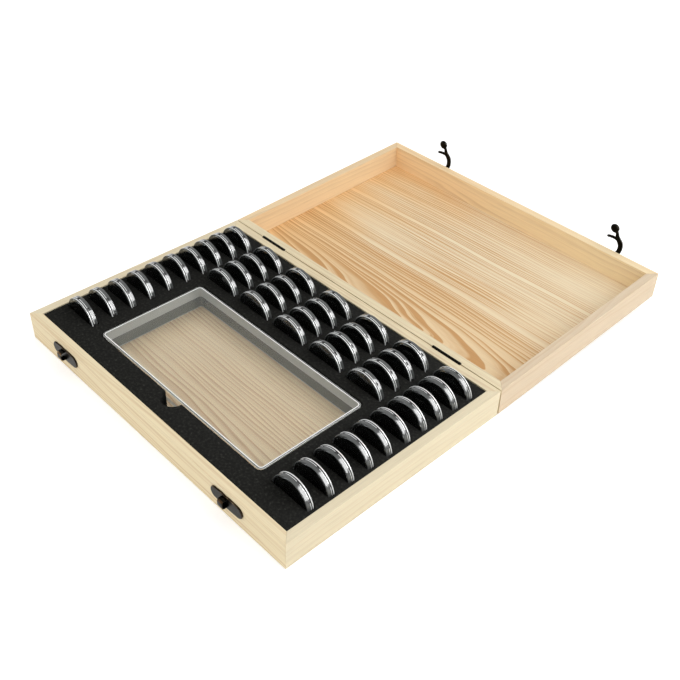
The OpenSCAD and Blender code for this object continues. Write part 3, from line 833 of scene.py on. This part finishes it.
def wear_and_highlight_edges(piece):
    piece.data.materials.clear()
    for finish in (bronze, bronze_wear_and_highlight):
        piece.data.materials.append(finish)
    for polygon in piece.data.polygons:
        # Rounded edges take the brighter brown: partly rubbed wear, partly a painted highlight.
        polygon.material_index = 0.4 < abs(polygon.normal.y) < 0.95


def strap(x, z):
    half, t, tall, bend, root, wide = 3.7, 1.0, 4.8, 1.85, 0.9, 6.4
    centre = (tall - bend, half - bend)
    one_side = arc(centre, bend + t, 0, 90, 6) + [(0, half + t), (0, half)] + arc(centre, bend, 90, 0, 6)
    whole = one_side + [(h, -w) for h, w in reversed(one_side)]
    side = Matrix(((0, 0, 1, x * mm), (-1, 0, 0, (face_y - root) * mm), (0, 1, 0, z * mm), (0, 0, 0, 1)))
    return plate("strap", [whole], wide, 0.3, side)


keeper_parts = []
for x, z in keeper_places:
    keeper_parts += [latch_plate("keeper_plate", x, z), strap(x, z)]
keepers = joined("latch_keepers_bronzed", keeper_parts)
wear_and_highlight_edges(keepers)
dress(keepers, None, "base", "bronzed_steel", "latch_keepers")

stud_profile = [
    (0, 0.2), (2.5, 0.2), (2.5, 1.9), (2.4, 2.0), (1.25, 2.0), (1.25, 4.0),
    (2.4, 4.0), (2.6, 4.2), (2.45, 4.5), (1.8, 4.72), (0, 4.8),
]
studs = []
for x, z in stud_places:
    stud = turned("stud", stud_profile, even_turns(32))
    stud.data.transform(at_front(x, z, 0))
    studs += [stud, latch_plate("stud_plate", x, z)]
stud_plates = joined("latch_plates_bronzed", studs)
wear_and_highlight_edges(stud_plates)
stud_plates.data.transform(lid_turn)
dress(stud_plates, None, "lid", "bronzed_steel", "latch_plates")
print("keepers", len(keepers.data.polygons), "stud plates", len(stud_plates.data.polygons))

# %% [markdown]
# ## Hooks
# A latch hook is a flat S: an eye on the stud, an arm that narrows to a neck with a round thumb knob, and a slim curved finger that slides under the strap.
# It could be bent from a tube, but the real one is pressed from plate, so its outline is drawn by a pen whose width changes along its path.

# %% Hooks
finger_r, hook_t, hook_lift = 25.9, 1.8, 2.1
knob_across, knob_down, knob_out = 2.0, 36.3, 0.75
arm_path = [
    (0, 0), (4.6, -5.6), (8.2, -12), (8.9, -18), (7.6, -22.6),
    (4.4, -26.4), (2.9, -29.6), (2.2, -32.2), (-0.6, -35),
]
arm_widths = [4.8, 5.0, 5.1, 5.4, 5.9, 5.2, 3.9, 3.2, 4.2]
finger_turns = [math.radians(a) for a in (-82, -87, -92, -97, -102, -106.5)]
finger_path = [(6.2, -25.2)] + [(finger_r * math.cos(a), finger_r * math.sin(a)) for a in finger_turns]
finger_widths = [4.0, 3.6, 3.2, 3.0, 2.9, 2.8, 2.7]
knob_profile = [
    (0, -1.9), (2.6, -1.9), (3.8, -1.6), (4.65, -1.0), (5.0, 0),
    (4.65, 1.0), (3.8, 1.6), (2.6, 1.9), (0, 1.9),
]


def smooth_spots(path, widths, steps):
    spots = []
    for i in range(len(path) - 1):
        a, b = Vector(path[max(i - 1, 0)]), Vector(path[i])
        c, d = Vector(path[i + 1]), Vector(path[min(i + 2, len(path) - 1)])
        for k in range(steps):
            t = k / steps
            spot = 2 * b + (c - a) * t
            spot += (2 * a - 5 * b + 4 * c - d) * t * t
            spot += (3 * b - a - 3 * c + d) * t ** 3
            spots.append((spot / 2, widths[i] + (widths[i + 1] - widths[i]) * t))
    spots.append((Vector(path[-1]), widths[-1]))
    return spots


def pen_line(path, widths, steps=8):
    spots = smooth_spots(path, widths, steps)
    left, right = [], []
    for i, (spot, w) in enumerate(spots):
        along = (spots[min(i + 1, len(spots) - 1)][0] - spots[max(i - 1, 0)][0]).normalized()
        out = Vector((-along.y, along.x)) * w / 2
        left.append(tuple(spot + out))
        right.append(tuple(spot - out))
    last, w = spots[-1]
    along = (spots[-1][0] - spots[-2][0]).normalized()
    turn = math.degrees(math.atan2(along.y, along.x))
    cap = arc(tuple(last), w / 2, turn + 90, turn - 90, 8)[1:-1]
    return left + cap + right[::-1]


def hook(name, x, z):
    mid = hook_lift + hook_t / 2
    place = at_front(x, z, mid)
    eye = [arc((0, 0), radius, 0, 345, 23) for radius in (3.35, 1.3)]
    parts = [
        plate("arm", [pen_line(arm_path, arm_widths)], hook_t, 0.5, place, 3),
        plate("eye", eye, hook_t, 0.4, place),
        plate("finger", [pen_line(finger_path, finger_widths)], hook_t, 0.5, place, 3),
    ]
    knob = turned("knob", knob_profile, even_turns(40))
    knob.data.transform(at_front(x - knob_across, z - knob_down, mid + knob_out))
    made = joined(name, parts + [knob])
    made.data.transform(lid_turn)
    return made


for name, (x, z) in zip(("hook_left", "hook_right"), stud_places):
    made = hook(name + "_bronzed", x, z)
    made.data.shade_smooth()
    made.data.set_sharp_from_angle(angle=math.radians(40))
    dress(made, bronze, name, "bronzed_steel", name)
    print(made.name, len(made.data.polygons), "faces")

# %% [markdown]
# ## Nails
# The plates and leaves are held by small domed nails, two in each plate and three in each leaf.
# They repeat, so a second tree of Geometry Nodes sets one turned nail head on every point of a list, turned to face out of the wood.
# The points could be typed in, but they are read from the frame's own nails, so a nail sits exactly in its hole. They are sorted, so that each run lists them alike.

# %% Nails
nail_profile = [(0, 0.5), (0.5, 0.47), (0.95, 0.36), (1.25, 0.18), (1.4, 0.0), (0.6, 0.0), (0.6, -4.8), (0, -5.5)]
nail_master = turned("nail_master", nail_profile, even_turns(16))
nail_sink, plate_lift, latch_y = 0.0005, 0.0003, 0.25


def islands(node):
    shape = bmesh.new()
    shape.from_mesh(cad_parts[node].data)
    bmesh.ops.remove_doubles(shape, verts=shape.verts, dist=weld)
    left, found = set(shape.verts), []
    while left:
        stack, group = [left.pop()], []
        while stack:
            v = stack.pop()
            group.append(v.co.copy())
            for e in v.link_edges:
                w = e.other_vert(v)
                if w in left:
                    left.remove(w)
                    stack.append(w)
        found.append((Vector(map(min, zip(*group))), Vector(map(max, zip(*group)))))
    shape.free()
    return sorted(found, key=lambda box: tuple(box[0]))


nail_tree, given = new_tree("nails", Nail="Object", Spots="Object", Lean="Vector", Finish="Material")
nail_shape = wire(nail_tree, "GeometryNodeObjectInfo", {"Object": given["Nail"]}).outputs["Geometry"]
spots = wire(nail_tree, "GeometryNodeObjectInfo", {"Object": given["Spots"]}).outputs["Geometry"]
takes = {"Points": spots, "Instance": nail_shape, "Rotation": given["Lean"]}
set_in = wire(nail_tree, "GeometryNodeInstanceOnPoints", takes).outputs[0]
wire(nail_tree, "NodeGroupOutput", {0: realized(nail_tree, set_in, given["Finish"])})


def nail_heads(node, body):
    fronts, rears = [], []
    for low, high in islands(node):
        middle = (low + high) / 2
        faces_rear = (body == "base") == (middle.y > 0)
        out = 1 if faces_rear else -1
        seat = (high.y if faces_rear else low.y) - out * nail_sink
        if middle.y < 0 or middle.y > latch_y:
            seat += out * plate_lift
        (rears if faces_rear else fronts).append((middle.x, seat, middle.z))
    made = []
    for spot_list, lean in ((fronts, math.pi / 2), (rears, -math.pi / 2)):
        if not spot_list:
            continue
        spot_mesh = bpy.data.meshes.new("nail_spots")
        spot_mesh.from_pydata(spot_list, [], [])
        spot_object = bpy.data.objects.new("nail_spots", spot_mesh)
        seat = dict(Nail=nail_master, Spots=spot_object, Lean=(lean, 0, 0), Finish=bronze)
        made.append(grown("nail_row", nail_tree, **seat))
    heads = joined(node + "_domed", made)
    dress(heads, bronze, body, "bronzed_steel", node)
    heads.data.shade_smooth()
    print(heads.name, len(heads.data.polygons), "faces, nails", len(fronts), len(rears))


nail_heads("base_nails", "base")
nail_heads("lid_nails", "lid")
